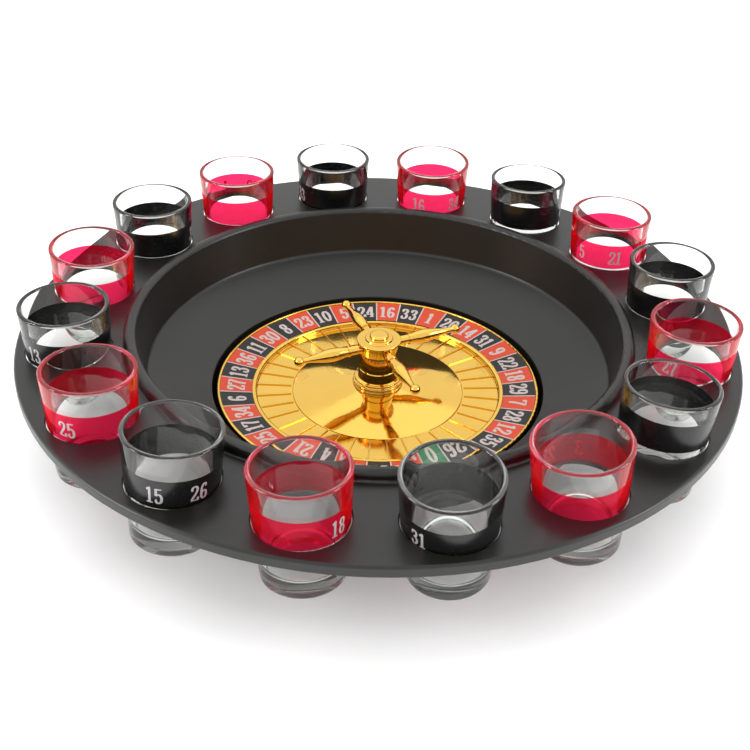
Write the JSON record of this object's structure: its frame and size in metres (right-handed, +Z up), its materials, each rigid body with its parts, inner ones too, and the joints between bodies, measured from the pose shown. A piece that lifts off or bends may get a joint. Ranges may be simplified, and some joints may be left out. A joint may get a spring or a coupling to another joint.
{
  "type": "roulette wheel",
  "caption": "Round black tray with a sunken gold roulette wheel that spins under a four-armed turret, and tapered shot glasses hanging in holes round its flange.",
  "frame": {"origin": "on the table, under the spindle's axis, level with the soles of the rubber feet", "axes": "+Z up along the spindle; the picture looks along +Y, so -Y is the front"},
  "size_m": [0.3, 0.3, 0.0671],
  "materials": {
    "black_plastic": "black moulded plastic with a fine satin grain",
    "rubber": "matt black rubber",
    "steel": "turned, bright zinc",
    "nylon": "natural nylon",
    "brass": "turned brass",
    "gold_plate": "plastic with mirror-bright gold plating",
    "turret_gold": "turned shape with mirror-bright gold plating",
    "label": "printed label, red, black and green with white numbers, semi-gloss",
    "ball_steel": "polished steel",
    "clear_glass": "clear polished glass",
    "red_ink": "translucent red ink band printed on the glass",
    "black_ink": "opaque black ink band printed on the glass",
    "white_ink": "pale printed numbers"
  },
  "bodies": {
    "tray": {"tray": "black_plastic", "foot_1": "rubber", "foot_2": "rubber", "foot_3": "rubber", "foot_4": "rubber", "spindle": "steel", "spindle_washer": "steel", "spindle_nut": "steel", "thrust_washer": "nylon", "retaining_clip": "steel"},
    "rotor": {"rotor": "gold_plate", "rotor_bush": "brass", "number_ring": "label", "cone": "gold_plate", "turret_base": "turret_gold", "turret_column": "turret_gold", "turret_head": "turret_gold", "turret_cap": "turret_gold", "turret_rod": "steel", "turret_arm_1": "turret_gold", "turret_arm_2": "turret_gold", "turret_arm_3": "turret_gold", "turret_arm_4": "turret_gold"},
    "ball": {"ball": "ball_steel"},
    "shot_glass_01": {"shot_glass_01": "clear_glass"},
    "shot_glass_02": {"shot_glass_02": "clear_glass"},
    "shot_glass_03": {"shot_glass_03": "clear_glass"},
    "shot_glass_04": {"shot_glass_04": "clear_glass"},
    "shot_glass_05": {"shot_glass_05": "clear_glass"},
    "shot_glass_06": {"shot_glass_06": "clear_glass"},
    "shot_glass_07": {"shot_glass_07": "clear_glass"},
    "shot_glass_08": {"shot_glass_08": "clear_glass"},
    "shot_glass_09": {"shot_glass_09": "clear_glass"},
    "shot_glass_10": {"shot_glass_10": "clear_glass"},
    "shot_glass_11": {"shot_glass_11": "clear_glass"},
    "shot_glass_12": {"shot_glass_12": "clear_glass"},
    "shot_glass_13": {"shot_glass_13": "clear_glass"},
    "shot_glass_14": {"shot_glass_14": "clear_glass"},
    "shot_glass_15": {"shot_glass_15": "clear_glass"},
    "shot_glass_16": {"shot_glass_16": "clear_glass"}
  },
  "joints": [
    {"name": "rotor_spin", "type": "hinge", "parent": "tray", "child": "rotor", "pos_m": [0, 0, 0.0125], "axis": [0, 0, 1], "continuous": true},
    {"name": "ball_lift", "type": "slide", "parent": "rotor", "child": "ball", "axis": [0, 0, 1], "range_m": [0, 0.06]},
    {"name": "shot_glass_01_lift", "type": "slide", "parent": "tray", "child": "shot_glass_01", "axis": [0, 0, 1], "range_m": [0, 0.06]},
    {"name": "shot_glass_02_lift", "type": "slide", "parent": "tray", "child": "shot_glass_02", "axis": [0, -0.0436, 0.999], "range_m": [0, 0.06]},
    {"name": "shot_glass_03_lift", "type": "slide", "parent": "tray", "child": "shot_glass_03", "axis": [0, 0.0349, 0.9994], "range_m": [0, 0.06]},
    {"name": "shot_glass_04_lift", "type": "slide", "parent": "tray", "child": "shot_glass_04", "axis": [0, 0, 1], "range_m": [0, 0.06]},
    {"name": "shot_glass_05_lift", "type": "slide", "parent": "tray", "child": "shot_glass_05", "axis": [0, 0, 1], "range_m": [0, 0.06]},
    {"name": "shot_glass_06_lift", "type": "slide", "parent": "tray", "child": "shot_glass_06", "axis": [0, 0, 1], "range_m": [0, 0.06]},
    {"name": "shot_glass_07_lift", "type": "slide", "parent": "tray", "child": "shot_glass_07", "axis": [0.0436, 0.0349, 0.9984], "range_m": [0, 0.06]},
    {"name": "shot_glass_08_lift", "type": "slide", "parent": "tray", "child": "shot_glass_08", "axis": [-0.0785, -0.0436, 0.996], "range_m": [0, 0.06]},
    {"name": "shot_glass_09_lift", "type": "slide", "parent": "tray", "child": "shot_glass_09", "axis": [-0.0175, -0.0872, 0.996], "range_m": [0, 0.06]},
    {"name": "shot_glass_10_lift", "type": "slide", "parent": "tray", "child": "shot_glass_10", "axis": [-0.0262, 0.0349, 0.999], "range_m": [0, 0.06]},
    {"name": "shot_glass_11_lift", "type": "slide", "parent": "tray", "child": "shot_glass_11", "axis": [0.061, 0.0349, 0.9975], "range_m": [0, 0.06]},
    {"name": "shot_glass_12_lift", "type": "slide", "parent": "tray", "child": "shot_glass_12", "axis": [0.0175, 0.0262, 0.9995], "range_m": [0, 0.06]},
    {"name": "shot_glass_13_lift", "type": "slide", "parent": "tray", "child": "shot_glass_13", "axis": [0, 0, 1], "range_m": [0, 0.06]},
    {"name": "shot_glass_14_lift", "type": "slide", "parent": "tray", "child": "shot_glass_14", "axis": [0.0436, -0.0262, 0.9987], "range_m": [0, 0.06]},
    {"name": "shot_glass_15_lift", "type": "slide", "parent": "tray", "child": "shot_glass_15", "axis": [0, 0, 1], "range_m": [0, 0.06]},
    {"name": "shot_glass_16_lift", "type": "slide", "parent": "tray", "child": "shot_glass_16", "axis": [0, 0, 1], "range_m": [0, 0.06]}
  ]
}
